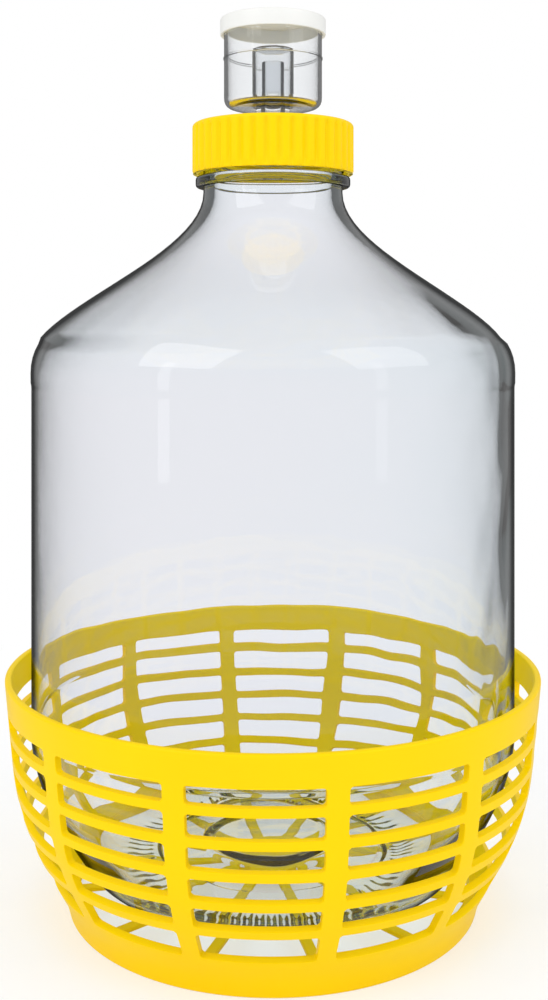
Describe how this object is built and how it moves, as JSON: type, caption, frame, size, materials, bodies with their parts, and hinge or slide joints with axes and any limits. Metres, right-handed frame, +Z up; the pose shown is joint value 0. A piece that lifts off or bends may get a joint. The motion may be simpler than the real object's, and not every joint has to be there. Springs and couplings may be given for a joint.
{
  "type": "glass demijohn",
  "caption": "Straight-sided clear glass demijohn standing in an openwork yellow plastic basket, closed by a screw cap with a rubber grommet and a water airlock.",
  "frame": {"origin": "middle of the basket's foot, on the surface that it stands on", "axes": "+Z up along the jar's axis; -Y is the front, as a shopper sees it; the part is turned about Z, so X and Y are set by the basket's ribs"},
  "size_m": [0.204, 0.204, 0.338],
  "materials": {
    "yellow_plastic": "moulded, softly glossy",
    "clear_glass": "clear, greenish where it is thick",
    "white_rubber": "matte",
    "cap_plastic": "moulded, softly glossy",
    "grey_rubber": "matte",
    "clear_plastic": "clear, smooth",
    "frosted_plastic": "frosted"
  },
  "bodies": {
    "basket": {"basket": "yellow_plastic"},
    "jar": {"glass_jar": "clear_glass"},
    "gasket": {"sealing_gasket": "white_rubber"},
    "grommet": {"cap_grommet": "grey_rubber"},
    "cap": {"screw_cap": "cap_plastic"},
    "airlock": {"airlock_body": "clear_plastic"},
    "bell": {"airlock_bell": "clear_plastic"},
    "lid": {"airlock_lid": "frosted_plastic"}
  },
  "joints": [
    {"name": "jar_lift", "type": "slide", "parent": "basket", "child": "jar", "axis": [0, 0, 1], "range_m": [0, 0.1234]},
    {"name": "closure_lift", "type": "slide", "parent": "jar", "child": "gasket", "axis": [0, 0, 1], "range_m": [0, 0.06]},
    {"name": "cap_rise", "type": "slide", "parent": "gasket", "child": "grommet", "axis": [0, 0, 1], "range_m": [0, 0.006]},
    {"name": "cap_turn", "type": "hinge", "parent": "grommet", "child": "cap", "pos_m": [0, 0, 0.2856], "axis": [0, 0, 1], "range_deg": [0, 450]},
    {"name": "airlock_pull", "type": "slide", "parent": "grommet", "child": "airlock", "axis": [0, 0, 1], "range_m": [0, 0.03]},
    {"name": "bell_float", "type": "slide", "parent": "airlock", "child": "bell", "axis": [0, 0, 1], "range_m": [0, 0.008]},
    {"name": "lid_lift", "type": "slide", "parent": "airlock", "child": "lid", "axis": [0, 0, 1], "range_m": [0, 0.016]}
  ],
  "couplings": [
    {"joint": "cap_rise", "follows": "cap_turn", "m_per_rad": 0.00076}
  ]
}
